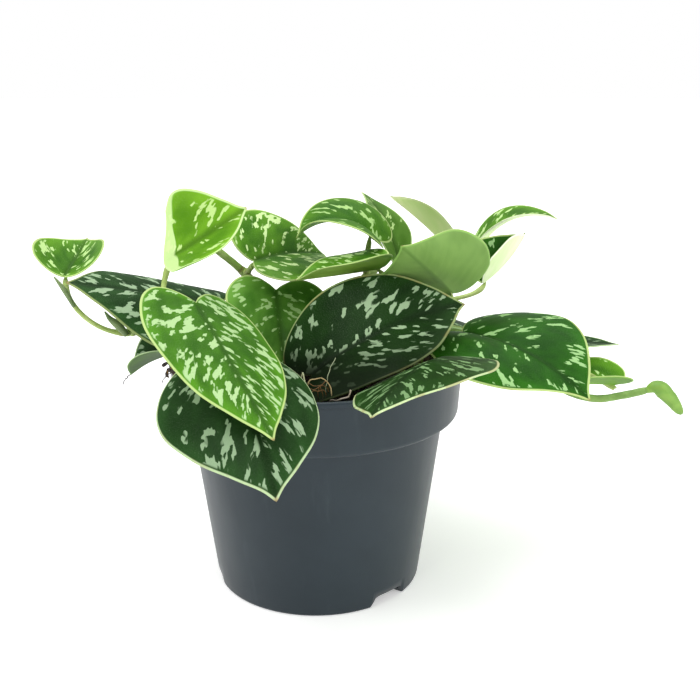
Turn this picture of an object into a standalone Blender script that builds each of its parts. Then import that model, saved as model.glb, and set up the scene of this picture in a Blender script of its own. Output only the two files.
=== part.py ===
"""Satin pothos in a nursery pot: pot, potting soil, vines and heart-shaped leaves, each a closed solid."""

import math

import bpy
import numpy as np

MM = 0.001  # the tables below are in millimetres and degrees

# Pot: a tapered shell with a deep collar and three drainage slots in its bottom corner.
RIM_RADIUS = 60.0
POT_HEIGHT = 95.0
COLLAR_HEIGHT = 22.0
COLLAR_DRAFT = 1.2
COLLAR_STEP = 5.8
BASE_RADIUS = 43.0
WALL = 1.5
FLOOR = 1.6
LIP_HEIGHT = 2.2
LIP_PROUD = 0.5
POT_SIDES = 60
SLOT_ANGLES = (-49.0, 71.0, 191.0)
SLOT_WIDTH = 27.0
SLOT_HEIGHT = 5.0
SLOT_DEPTH = 7.0
SLOT_TAPER = 0.72

# Soil: a cast of the pot's inside, its top a little below the rim and lumpy.
SOIL_TOP = 87.0
SOIL_LUMP = 1.4
SOIL_GAP = 0.4
SOIL_SIDES = 40
SOIL_RINGS = 7
SOIL_RELIEF = 1.5
HOLE_GAP = 0.5

# Vines and petioles.
VINE_RADIUS = 1.6
NODE_SWELL = 0.4
NODE_SPREAD = 3.0
VINE_SIDES = 6
ROOT_DEPTH = 17.0
JOIN_GAP = 0.4
PETIOLE_FOOT = 1.3
PETIOLE_HEAD = 1.05
PETIOLE_TIP = 0.3
PETIOLE_SIDES = 6
PETIOLE_STEPS = 7
PETIOLE_SINK = 3.0
PETIOLE_RISE = 0.4
PETIOLE_PULL = 0.35
PETIOLE_HANG = 0.4

# Blades.
BLADE = 0.8
RIDGE = 0.5
ROWS = 10
HALF_COLUMNS = 3

# Half outline of a leaf: distance along the midrib and distance out from it, as shares of length and
# half width, from the notch round the lobe to the tip.
OUTLINE = (
    (0.0, 0.0), (-0.055, 0.13), (-0.105, 0.36), (-0.09, 0.62), (0.01, 0.86), (0.19, 1.0),
    (0.42, 0.95), (0.64, 0.72), (0.82, 0.37), (0.92, 0.14), (0.965, 0.055), (1.0, 0.0),
)

# Each vine: where it stands in the soil, then its way up and out, by hand.
VINES = {
    "left": ((-30, 6), (-31, 6, 97), (-38, 7, 103), (-52, 8, 105), (-64, 5, 106), (-76, -1, 106)),
    "front_left": ((-30, -28), (-31, -29, 98), (-34, -30, 108), (-45, -31, 115), (-54, -28, 121)),
    "centre_left": ((-19, 30), (-20, 31, 108), (-26, 29, 119), (-34, 26, 128), (-43, 21, 137), (-48, 18, 143)),
    "centre": ((6, 12), (8, 16, 104), (15, 22, 116), (22, 27, 123), (28, 30, 127)),
    "right_back": ((38, 20), (40, 21, 98), (46, 25, 105), (54, 34, 111), (59, 45, 117)),
    "front_right": ((34, -7), (35, -8, 95), (39, -7, 99)),
    "right": ((44, 13), (47, 14, 97), (58, 14, 101), (74, 12, 96), (91, 9, 86), (106, 5, 77), (118, 3, 74),
              (129, 1, 76), (139, -1, 79)),
    "back": ((-6, 42), (-5, 43, 98), (0, 44, 104)),
}


def leaf(vine, at, base, heading, pitch, roll, length, width, bend, fold, cup=0, twist=0, lobe=1.0, sweep=0):
    """One leaf. vine, at: where its petiole grows, at being the share of the way along that vine.
    base: the notch of the blade. heading, pitch, roll: which way the midrib points and how far the
    blade leans. bend, twist: along the blade. fold, cup: how each half rises from the midrib. lobe: how
    far the lobes reach back. sweep: how far the widest part moves towards the tip."""
    return {
        "vine": vine, "at": at, "base": base, "heading": heading, "pitch": pitch, "roll": roll,
        "length": length, "width": width, "bend": bend, "fold": fold, "cup": cup, "twist": twist,
        "lobe": lobe, "sweep": sweep,
    }


LEAVES = {
    "front_bright": leaf("front_left", 0.55, (-42, -52, 130), -57, -32, -15, 63, 52, 3, (-9, 0), 0, 8),
    "front_low": leaf("front_left", 0.35, (-32, -58, 112), -68, -14, 0, 62, 62, 39, (-8, -19), -26),
    "top_left": leaf("front_left", 1.0, (-57, -22, 139), -10, 30, 36, 39, 43, -6, (6, 6), 45, 22, 0.5, 0.25),
    "centre_dark": leaf("centre", 0.12, (-2, -26.6, 95), -2, 40, 43, 70, 56, 50, (-4, 33.5), 0, 36, 1.1),
    "rim_front": leaf("front_right", 0.5, (46, -41, 106), -122, 8, 20, 63, 52, 24, (-17, -8), 0, 5, 0.8),
    "right_long": leaf("front_right", 1.0, (60, 2, 104), -43, 4, -15, 65, 62, 36, (37, -2), -36, 26, 0.6),
    "big_under": leaf("right_back", 0.45, (58, 18, 117), -120, 30, 26, 63, 47, 6, (22, 14), 0, 16, 0.6),
    "mid_heart": leaf("centre_left", 0.35, (-17, 18, 119), -82, -40, -12, 44, 46, -4, (13, 14), -11, 1),
    "top_mid": leaf("centre_left", 0.6, (-26, 15, 132), 48, 4, 29, 51, 46, 22, (32, 18), -13, -4),
    "arch": leaf("centre", 0.85, (25, 24, 139), 171, 51, 10, 38, 38, 100, (15, 50), -35, 2),
    "folded_mid": leaf("centre", 0.6, (27, 1, 132), 182, -10, 3, 36, 40, -4, (40, 34), -40, -6),
    "behind_arch": leaf("centre", 0.9, (37, 40, 124), 110, 66, 18, 45, 26, 46, (19, 0), 0, 0, 1, 0.3),
    "far_left": leaf("left", 1.0, (-99, -5, 130), 85, 13, 8, 32, 34, -12, (27, 28), 18, -8, 0.7),
    "left_dark": leaf("left", 0.35, (-39, 3, 117), 208, 15, -23, 63, 54, 3, (2, 2), -52, -7),
    "low_left": leaf("left", 0.6, (-55, -13, 101), 155, -15, -14, 28, 25, 27, (34, 58), 0, -6),
    "top_under": leaf("right_back", 0.6, (63.5, 50, 128), 140, 38, 34, 43, 32, 10, (18, 17), 0, 13, 0.5),
    "right_arch": leaf("right_back", 1.0, (76, 62, 127.5), -12, 68, 3, 43, 31, 90, (12, 18), 0, 10, 0.7),
    "right_fold": leaf("right_back", 0.6, (71.6, 25, 120), 48, 11, -18, 44, 33, -24, (70, 48), 0, 0, 0.5),
    "right_tip": leaf("right", 0.45, (87, 29, 96), 4, -10, 0, 50, 32, -5, (3, 3)),
    "right_small": leaf("right", 0.5, (131, 14, 77), 180, 4, 0, 33, 28, 10, (31, 36), 0, 0, 1.2),
    "back_left": leaf("back", 0.4, (-30, 42, 106), 125, -8, 0, 64, 54, 40, (8, 8), -20),
    "back_mid": leaf("back", 1.0, (14, 50, 106), 85, -5, 0, 66, 58, 48, (8, 8), -25),
    "back_right": leaf("right_back", 0.3, (46, 44, 102), 40, -10, 0, 62, 50, 40, (4, 4), -20),
}

# Rolled young leaves and the dry sheaths at nodes: points along each, with its radius there.
SPINDLES = {
    "bud_right": ((139.5, -1.1, 79.4, 1.3), (141, -1.5, 80.6, 3.1), (143.6, -2.3, 80.2, 4.0),
                  (146.6, -3.6, 77.2, 3.5), (149.2, -5, 74, 2.5), (151.2, -6, 71.4, 1.5),
                  (152.2, -6.4, 70.2, 0.5)),
    "sheath_tip": ((-95, -8.8, 118.6, 0.7), (-97.6, -9, 124.2, 1.1), (-99.8, -8.8, 127.6, 0.8),
                   (-102, -8.5, 130.6, 0.3)),
    "sheath_node": ((-76, -5, 106, 1.2), (-79, -5.5, 110, 1.7), (-82, -6, 113, 1.1), (-84, -6, 116, 0.3)),
}

COLOURS = {
    "pot": (0.055, 0.068, 0.082, 0.45),
    "soil": (0.030, 0.018, 0.010, 0.95),
    "vine": (0.30, 0.42, 0.10, 0.5),
    "old": (0.022, 0.085, 0.030, 0.42),
    "green": (0.050, 0.185, 0.025, 0.40),
    "young": (0.150, 0.330, 0.030, 0.38),
    "pale": (0.230, 0.400, 0.110, 0.50),
    "sheath": (0.30, 0.30, 0.12, 0.7),
}
YOUNG = ("front_bright", "top_left", "far_left", "folded_mid", "right_small", "top_mid")
OLD = ("front_low", "centre_dark", "left_dark", "low_left", "rim_front", "back_mid", "right_tip")
PALE = ("big_under", "top_under", "right_fold")


def clear_scene():
    for item in list(bpy.data.objects):
        bpy.data.objects.remove(item, do_unlink=True)


def material(name):
    found = bpy.data.materials.get(name)
    if found:
        return found
    red, green, blue, roughness = COLOURS[name]
    made = bpy.data.materials.new(name)
    made.use_nodes = True
    shader = made.node_tree.nodes["Principled BSDF"]
    shader.inputs["Base Color"].default_value = (red, green, blue, 1.0)
    shader.inputs["Roughness"].default_value = roughness
    made.diffuse_color = (red, green, blue, 1.0)
    return made


def add_mesh(name, points, faces, look, parent=None):
    """points in millimetres."""
    mesh = bpy.data.meshes.new(name)
    mesh.from_pydata([tuple(float(c) * MM for c in p) for p in points], [], [tuple(f) for f in faces])
    mesh.validate()
    mesh.update()
    made = bpy.data.objects.new(name, mesh)
    bpy.context.scene.collection.objects.link(made)
    made.data.materials.append(material(look))
    made.parent = parent
    return made


def apply_shape(target, tool, operation):
    """Joins or cuts target with tool, which then only serves as the tool."""
    step = target.modifiers.new(operation.lower() + "_" + tool.name, "BOOLEAN")
    step.operation = operation
    step.object = tool
    step.solver = "EXACT"
    tool.hide_render = True
    tool.display_type = "WIRE"


def smooth_curve(points, count):
    """A Catmull-Rom curve through points, sampled evenly along its length."""
    points = np.asarray(points, float)
    ends = np.vstack([2 * points[0] - points[1], points, 2 * points[-1] - points[-2]])
    pieces = []
    for i in range(1, len(ends) - 2):
        t = np.linspace(0.0, 1.0, 12, endpoint=False)[:, None]
        a, b, c, d = ends[i - 1], ends[i], ends[i + 1], ends[i + 2]
        cubic = (2 * a - 5 * b + 4 * c - d) * t**2 + (3 * b - a - 3 * c + d) * t**3
        pieces.append(0.5 * (2 * b + (c - a) * t + cubic))
    dense = np.vstack(pieces + [points[-1:]])
    along = np.r_[0.0, np.cumsum(np.linalg.norm(np.diff(dense, axis=0), axis=1))]
    wanted = np.linspace(0.0, along[-1], count)
    return np.stack([np.interp(wanted, along, dense[:, k]) for k in range(dense.shape[1])], axis=-1)


def unit(vector):
    return vector / np.linalg.norm(vector)


def tube(centres, radii, sides):
    """A closed tube through centres, its rings turned as little as possible from one to the next."""
    centres = np.asarray(centres, float)
    tangents = np.gradient(centres, axis=0)
    side = unit(np.cross(tangents[0], (0.3, 1.0, 0.2)))
    points = []
    for centre, tangent, radius in zip(centres, tangents, radii):
        tangent = unit(tangent)
        side = unit(side - tangent * (side @ tangent))
        other = np.cross(tangent, side)
        for k in range(sides):
            angle = 2 * math.pi * k / sides
            points.append(centre + radius * (math.cos(angle) * side + math.sin(angle) * other))
    faces = []
    rings = len(centres)
    for r in range(rings - 1):
        for k in range(sides):
            a, b = r * sides + k, r * sides + (k + 1) % sides
            c, d = b + sides, a + sides
            faces += [(a, b, c), (a, c, d)]
    faces.append(tuple(range(sides))[::-1])
    faces.append(tuple(range((rings - 1) * sides, rings * sides)))
    return points, faces


def revolve(profile, sides):
    """A closed solid of revolution. The profile is a list of (radius, height), both ends on the axis."""
    points, faces = [(0.0, 0.0, profile[0][1])], []
    for radius, height in profile[1:-1]:
        for k in range(sides):
            angle = 2 * math.pi * k / sides
            points.append((radius * math.cos(angle), radius * math.sin(angle), height))
    points.append((0.0, 0.0, profile[-1][1]))
    rings = len(profile) - 2
    for k in range(sides):
        after = (k + 1) % sides
        faces.append((0, 1 + after, 1 + k))
        for r in range(rings - 1):
            a, b = 1 + r * sides + k, 1 + r * sides + after
            faces.append((a, b, b + sides, a + sides))
        last = 1 + (rings - 1) * sides
        faces.append((len(points) - 1, last + k, last + after))
    return points, faces


def collar_foot():
    """Radius of the body just under the collar, and of the collar's lower edge."""
    edge = RIM_RADIUS - LIP_PROUD - COLLAR_DRAFT
    return edge - COLLAR_STEP, edge


def make_pot(root):
    step = POT_HEIGHT - COLLAR_HEIGHT
    body, edge = collar_foot()
    lip = POT_HEIGHT - LIP_HEIGHT
    neck = RIM_RADIUS - LIP_PROUD
    profile = [
        (0, 0), (BASE_RADIUS, 0), (body, step), (edge, step), (neck, lip), (RIM_RADIUS, lip),
        (RIM_RADIUS, POT_HEIGHT), (neck - WALL, POT_HEIGHT), (edge - WALL, step + WALL),
        (body - WALL, step + WALL),
        (BASE_RADIUS - WALL, FLOOR), (0, FLOOR),
    ]
    pot = add_mesh("pot", *revolve(profile, POT_SIDES), "pot", root)
    for number, angle in enumerate(SLOT_ANGLES):
        cutter = slot_cutter(f"slot_cutter_{number}", math.radians(angle), root)
        apply_shape(pot, cutter, "DIFFERENCE")
    return pot


def slot_cutter(name, middle, root):
    """A wedge of a ring with sloping ends, which opens the pot's bottom corner."""
    inner, outer = BASE_RADIUS - SLOT_DEPTH, BASE_RADIUS + 4.0
    low = math.radians(SLOT_WIDTH) / 2
    high = low * SLOT_TAPER
    points = []
    for height, half in ((-1.0, low), (SLOT_HEIGHT, high)):
        for radius in (inner, outer):
            for share in (-1.0, -0.33, 0.33, 1.0):
                angle = middle + share * half
                points.append((radius * math.cos(angle), radius * math.sin(angle), height))
    faces = [(0, 1, 2, 3, 7, 6, 5, 4), (12, 13, 14, 15, 11, 10, 9, 8), (0, 4, 12, 8), (7, 3, 11, 15)]
    faces += [(k + 1, k, 8 + k, 9 + k) for k in range(3)]
    faces += [(4 + k, 5 + k, 13 + k, 12 + k) for k in range(3)]
    return add_mesh(name, points, faces, "pot", root)


def make_soil(root):
    """The cast of the inside, with low lumps on top and a plain hole for each vine."""
    step = POT_HEIGHT - COLLAR_HEIGHT
    body, edge = collar_foot()
    wall_slope = COLLAR_DRAFT / (COLLAR_HEIGHT - LIP_HEIGHT)
    inset = WALL + SOIL_GAP
    top = edge + wall_slope * (SOIL_TOP - step) - inset
    slot_roof = SLOT_HEIGHT + SOIL_RELIEF
    foot = BASE_RADIUS - SLOT_DEPTH - SOIL_RELIEF
    taper = (body - BASE_RADIUS) / step
    profile = [
        (0, FLOOR + SOIL_GAP), (foot, FLOOR + SOIL_GAP), (foot, slot_roof),
        (BASE_RADIUS + taper * slot_roof - inset, slot_roof),
        (body - inset - 0.2, step + WALL), (body - inset - 0.2, step + WALL + SOIL_GAP),
        (edge - inset, step + WALL + SOIL_GAP), (top, SOIL_TOP),
    ]
    rings = [(top * (1 - k / SOIL_RINGS), SOIL_TOP) for k in range(1, SOIL_RINGS)]
    points, faces = revolve(profile + rings + [(0, SOIL_TOP)], SOIL_SIDES)
    lumpy = []
    for x, y, z in points:
        if z > SOIL_TOP - 0.5:
            fall = 1.0 - (math.hypot(x, y) / top) ** 4
            wave = math.sin(0.21 * x + 1.1) * math.cos(0.17 * y - 0.6) + 0.5 * math.sin(0.33 * x - 0.41 * y)
            z = z + SOIL_LUMP * fall * wave
        lumpy.append((x, y, z))
    soil = add_mesh("soil", lumpy, faces, "soil", root)
    for name, route in VINES.items():
        x, y = route[0]
        hole = [(x, y, SOIL_TOP - ROOT_DEPTH - HOLE_GAP), (x, y, SOIL_TOP - 5), (x, y, SOIL_TOP + 5)]
        radius = VINE_RADIUS + HOLE_GAP
        cutter = add_mesh(f"hole_cutter_{name}", *tube(hole, [radius] * 3, 8), "soil", root)
        apply_shape(soil, cutter, "DIFFERENCE")
    return soil


def vine_route(name):
    (x, y), *way = VINES[name]
    stand = [(x, y, SOIL_TOP - ROOT_DEPTH), (x, y, SOIL_TOP - 8), (x, y, SOIL_TOP + 2)]
    return np.array(stand + list(way), float)


def point_along(route, share):
    """The place and direction at a share of the way from the soil's surface to the vine's end."""
    dense = smooth_curve(route[2:], 60)
    k = min(58, round(share * 59))
    return dense[round(share * 59)], unit(dense[k + 1] - dense[k])


def make_vine(name, root):
    route = vine_route(name)
    count = max(9, round(np.linalg.norm(np.diff(route, axis=0), axis=1).sum() / 7))
    centres = np.vstack([route[:2], smooth_curve(route[2:], count)])
    nodes = [point_along(route, blade["at"])[0] for blade in LEAVES.values() if blade["vine"] == name]
    radii = []
    for centre in centres:
        nearest = min(np.linalg.norm(centre - node) for node in nodes)
        radii.append(VINE_RADIUS + NODE_SWELL * math.exp(-((nearest / NODE_SPREAD) ** 2)))
    radii[-1] *= 0.8
    return add_mesh(f"stem_{name}", *tube(centres, radii, VINE_SIDES), "vine", root)


def leaf_axes(blade):
    """Directions of the midrib, the left half and the upper face at the notch."""
    heading, pitch, roll = (math.radians(blade[key]) for key in ("heading", "pitch", "roll"))
    reach = math.cos(pitch)
    ahead = np.array([math.cos(heading) * reach, math.sin(heading) * reach, math.sin(pitch)])
    level = np.array([-math.sin(heading), math.cos(heading), 0.0])
    over = np.cross(ahead, level)
    left = math.cos(roll) * level + math.sin(roll) * over
    up = math.cos(roll) * over - math.sin(roll) * level
    return ahead, left, up


def blade_grid(blade):
    """Middle surface of a blade: rows fan out from the midrib to the margin, columns run left to right."""
    length, half_width = blade["length"], blade["width"] / 2
    outline = smooth_curve(OUTLINE, ROWS + 1)
    back = np.where(outline[:, 0] < 0, outline[:, 0] * blade["lobe"], outline[:, 0])
    back = back + blade["sweep"] * outline[:, 1] * (1 - outline[:, 0]) ** 2
    tau = np.linspace(0.0, 1.0, ROWS + 1)[:, None]
    column = np.linspace(1.0, -1.0, 2 * HALF_COLUMNS + 1)[None, :]
    out, left_side = np.abs(column), column > 0
    midrib = 0.22 * tau + 0.78 * tau**2
    x = midrib * (1 - out) + back[:, None] * out
    reach = outline[:, 1:2] * out

    # Across: the slope starts at fold by the midrib and grows by cup out to the widest margin.
    fold = np.radians(np.where(left_side, blade["fold"][0], blade["fold"][1]))
    cup = math.radians(blade["cup"]) or 1e-4
    across = np.sign(column) * half_width / cup * (np.sin(fold + cup * reach) - np.sin(fold))
    rise = half_width / cup * (np.cos(fold) - np.cos(fold + cup * reach))

    # Along: the midrib bends evenly downwards and the blade twists about it.
    twist = math.radians(blade["twist"]) * x
    y = across * np.cos(twist) - rise * np.sin(twist)
    z = across * np.sin(twist) + rise * np.cos(twist)
    bend = -math.radians(blade["bend"]) or 1e-4
    along = length / bend * np.sin(bend * x) - z * np.sin(bend * x)
    above = length / bend * (1 - np.cos(bend * x)) + z * np.cos(bend * x)
    ahead, left, up = leaf_axes(blade)
    return (np.array(blade["base"], float) + along[..., None] * ahead
            + y[..., None] * left + above[..., None] * up)


def blade_normals(grid, up):
    down_rows, across_columns = np.gradient(grid, axis=0), np.gradient(grid, axis=1)
    normal = np.cross(across_columns, down_rows)
    normal[0] = up
    normal[-1] = normal[-2, HALF_COLUMNS]
    return normal / np.linalg.norm(normal, axis=-1, keepdims=True)


def blade_solid(blade):
    """Both faces of the blade split into the same triangles, with a midrib ridge on the lower one."""
    grid = blade_grid(blade)
    normal = blade_normals(grid, leaf_axes(blade)[2])
    columns = 2 * HALF_COLUMNS + 1
    ridge = np.zeros((ROWS + 1, columns, 1))
    ridge[1:-1, HALF_COLUMNS, 0] = RIDGE * (1 - np.linspace(0, 1, ROWS + 1)[1:-1])
    points = []
    for shift in (BLADE / 2, -(BLADE / 2 + ridge)):
        sheet = grid + normal * shift
        points.append(sheet[0, 0])
        points += list(sheet[1:-1].reshape(-1, 3))
        points.append(sheet[-1, 0])
    half = len(points) // 2
    tip = half - 1

    def spot(row, column):
        if row == 0:
            return 0
        return tip if row == ROWS else 1 + (row - 1) * columns + column

    top = []
    for row in range(ROWS):
        for column in range(columns - 1):
            a, b = spot(row, column), spot(row, column + 1)
            c, d = spot(row + 1, column + 1), spot(row + 1, column)
            if row == 0:
                top.append((a, d, c))
            elif row == ROWS - 1:
                top.append((a, c, b))
            elif column < HALF_COLUMNS:
                top += [(a, d, c), (a, c, b)]
            else:
                top += [(a, d, b), (b, d, c)]
    faces = list(top) + [(c + half, b + half, a + half) for a, b, c in top]
    margin = [spot(row, 0) for row in range(ROWS + 1)]
    margin += [spot(row, columns - 1) for row in range(ROWS - 1, 0, -1)]
    for a, b in zip(margin, margin[1:] + margin[:1]):
        faces += [(b, a, a + half), (b, a + half, b + half)]
    return points, faces


def petiole_solid(blade):
    """A stalk from the side or the end of its vine that ends inside the blade, under the midrib."""
    stem, direction = point_along(vine_route(blade["vine"]), blade["at"])
    ahead, _, up = leaf_axes(blade)
    base = np.array(blade["base"], float)
    away = base - stem
    away = unit(away - direction * (away @ direction))
    foot = stem + away * (VINE_RADIUS + NODE_SWELL + JOIN_GAP)
    start = unit(away + np.array([0, 0, PETIOLE_RISE]))
    if blade["at"] == 1.0:
        start, foot = direction, stem + direction * JOIN_GAP
    end = base + ahead * PETIOLE_SINK
    reach = np.linalg.norm(end - foot)
    start_pull = foot + start * reach * PETIOLE_PULL
    end_pull = end - unit(ahead + 0.8 * up) * reach * PETIOLE_HANG
    t = np.linspace(0.0, 1.0, 80)[:, None]
    dense = ((1 - t) ** 3 * foot + 3 * (1 - t) ** 2 * t * start_pull
             + 3 * (1 - t) * t**2 * end_pull + t**3 * end)
    along = np.r_[0.0, np.cumsum(np.linalg.norm(np.diff(dense, axis=0), axis=1))]
    wanted = np.append(np.linspace(0.0, along[-1] - PETIOLE_SINK, PETIOLE_STEPS), along[-1])
    path = np.stack([np.interp(wanted, along, dense[:, k]) for k in range(3)], axis=-1)
    radii = np.append(np.linspace(PETIOLE_FOOT, PETIOLE_HEAD, PETIOLE_STEPS), PETIOLE_TIP)
    return tube(path, radii, PETIOLE_SIDES)


def look_of(name):
    if name in YOUNG:
        return "young"
    if name in OLD:
        return "old"
    return "pale" if name in PALE else "green"


def make_leaf(name, root):
    blade = LEAVES[name]
    made = add_mesh(f"leaf_{name}", *blade_solid(blade), look_of(name), root)
    stalk = add_mesh(f"petiole_{name}", *petiole_solid(blade), "vine", root)
    apply_shape(made, stalk, "UNION")


def make_spindle(name, root):
    dense = smooth_curve(SPINDLES[name], 8)
    look = "young" if name.startswith("bud") else "sheath"
    add_mesh(name, *tube(dense[:, :3], dense[:, 3], 8), look, root)


def main():
    clear_scene()
    root = bpy.data.objects.new("satin_pothos", None)
    bpy.context.scene.collection.objects.link(root)
    make_pot(root)
    make_soil(root)
    for name in VINES:
        make_vine(name, root)
    for name in LEAVES:
        make_leaf(name, root)
    for name in SPINDLES:
        make_spindle(name, root)


main()
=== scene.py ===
import bpy
import numpy as np
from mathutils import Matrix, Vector


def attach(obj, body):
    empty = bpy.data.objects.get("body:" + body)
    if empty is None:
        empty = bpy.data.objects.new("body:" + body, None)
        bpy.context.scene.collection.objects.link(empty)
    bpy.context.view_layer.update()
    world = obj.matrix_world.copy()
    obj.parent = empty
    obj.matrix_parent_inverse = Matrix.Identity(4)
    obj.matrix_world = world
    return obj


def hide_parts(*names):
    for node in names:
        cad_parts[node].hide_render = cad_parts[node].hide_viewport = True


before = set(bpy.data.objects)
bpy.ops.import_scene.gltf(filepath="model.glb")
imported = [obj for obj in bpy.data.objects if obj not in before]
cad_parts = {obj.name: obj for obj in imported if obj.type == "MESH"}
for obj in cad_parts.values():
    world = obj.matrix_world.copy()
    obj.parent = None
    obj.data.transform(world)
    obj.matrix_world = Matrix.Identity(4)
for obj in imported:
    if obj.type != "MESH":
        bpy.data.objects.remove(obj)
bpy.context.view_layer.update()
mm = 0.001  # every length below is in millimetres, every angle in degrees
rng = np.random.default_rng(11)


def unit(vectors):
    return vectors / np.linalg.norm(vectors, axis=-1, keepdims=True)


def paint(colour):
    # a screen colour, 0 to 255, as the linear colour that a shader takes; a socket stays as it is
    if isinstance(colour, bpy.types.NodeSocket):
        return colour
    screen = np.array(colour) / 255
    return (*(np.where(screen < 0.04045, screen / 12.92, ((screen + 0.055) / 1.055) ** 2.4)), 1.0)


def ease(low, high, values):
    # smooth step: 0 below low, 1 above high, 3t^2 - 2t^3 between
    t = np.clip((values - low) / (high - low), 0, 1)
    return t * t * (3 - 2 * t)


def smoothCurve(points, count, between=16):
    # Catmull-Rom curve through the points, worked out at steps between them, then sampled evenly
    points = np.asarray(points, float)
    ends = np.vstack([2 * points[0] - points[1], points, 2 * points[-1] - points[-2]])
    t = np.linspace(0, 1, between, endpoint=False)[None, :, None]
    a, b, c, d = (ends[k:len(ends) - 3 + k, None] for k in range(4))
    cubic = (2 * a - 5 * b + 4 * c - d) * t**2 + (3 * b - a - 3 * c + d) * t**3
    dense = (0.5 * (2 * b + (c - a) * t + cubic)).reshape(-1, points.shape[1])
    return evenly(np.vstack([dense, points[-1:]]), count)


def lengthAlong(path):
    # the distance from the start of a path to each of its points
    return np.r_[0, np.cumsum(np.linalg.norm(np.diff(path, axis=0), axis=1))]


def evenly(dense, count):
    # the same path, resampled at equal steps of its length
    along = lengthAlong(dense)
    wanted = np.linspace(0, along[-1], count)
    return np.stack([np.interp(wanted, along, numbers) for numbers in dense.T], axis=-1)


def closedRings(grid):
    # rings of points, row after row, as one closed surface of triangles: the first and the last ring shrink
    # to a point each, and triangles that lose a side go
    rows, columns = grid.shape[:2]
    row = np.arange(rows - 1)[:, None] * columns
    here = np.arange(columns)[None, :]
    after = (here + 1) % columns
    a, b, c, d = row + here, row + after, row + columns + after, row + columns + here
    triangles = np.stack([a, b, c, a, c, d], axis=-1).reshape(-1, 3)
    same = np.arange(rows * columns).reshape(rows, columns)
    same[0], same[-1] = same[0, 0], same[-1, 0]
    triangles = same.ravel()[triangles]
    a, b, c = triangles.T
    whole = (a != b) & (b != c) & (a != c)
    used, packed = np.unique(triangles[whole], return_inverse=True)
    return grid.reshape(-1, 3)[used], packed.reshape(-1, 3), used, whole


def makePiece(name, points, triangles, finishes, slot, nodes, finishOf=None, veins=None, values=None):
    # a mesh from arrays; veins is a UV map per point, values are named numbers per point
    mesh = bpy.data.meshes.new(name)
    mesh.vertices.add(len(points))
    mesh.vertices.foreach_set("co", (points * mm).astype(np.float32).ravel())
    mesh.loops.add(triangles.size)
    mesh.loops.foreach_set("vertex_index", triangles.astype(np.int32).ravel())
    mesh.polygons.add(len(triangles))
    mesh.polygons.foreach_set("loop_start", np.arange(0, triangles.size, 3, dtype=np.int32))
    for finish in finishes:
        mesh.materials.append(finish)
    if finishOf is not None:
        mesh.polygons.foreach_set("material_index", finishOf.astype(np.int32))
    mesh.update(calc_edges=True)
    if veins is not None:
        layer = mesh.uv_layers.new(name="veins")
        layer.data.foreach_set("uv", veins[triangles.ravel()].astype(np.float32).ravel())
    for key, numbers in (values or {}).items():
        mesh.attributes.new(key, "FLOAT", "POINT").data.foreach_set("value", numbers.astype(np.float32))
    mesh.shade_smooth()
    piece = bpy.data.objects.new(name, mesh)
    bpy.context.scene.collection.objects.link(piece)
    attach(piece, "root")
    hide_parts(*nodes)
    return piece


tubeLean = (0.31, -0.24, 0.92)  # a direction that no path follows, so the sides of a tube never spin


def tubeMesh(path, radii, sides, shape=None):
    # a ring of points round each place of the path, closed in the middle of the first and the last ring;
    # shape gives each ring's radius against the angle
    ahead = unit(np.gradient(path, axis=0))
    side = unit(np.cross(ahead, unit(np.array(tubeLean))))
    over = np.cross(ahead, side)
    angle = np.linspace(0, 2 * np.pi, sides, endpoint=False)
    out = np.asarray(radii, float)[:, None] * (np.ones((1, sides)) if shape is None else shape(angle))
    ring = np.cos(angle)[None, :, None] * side[:, None] + np.sin(angle)[None, :, None] * over[:, None]
    ends = np.repeat(path[[0, -1], None], sides, 1)
    ring = np.concatenate([ends[:1], path[:, None] + out[..., None] * ring, ends[1:]])
    lengths = lengthAlong(path)
    along = np.r_[0, lengths, lengths[-1]][:, None] + 0 * angle
    around = angle[None, :] / (2 * np.pi) + 0 * along
    veins = np.stack([along / 10, around], axis=-1).reshape(-1, 2)  # in centimetres and turns
    points, triangles, used, _ = closedRings(ring)
    return points, triangles, veins[used], used // sides


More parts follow.
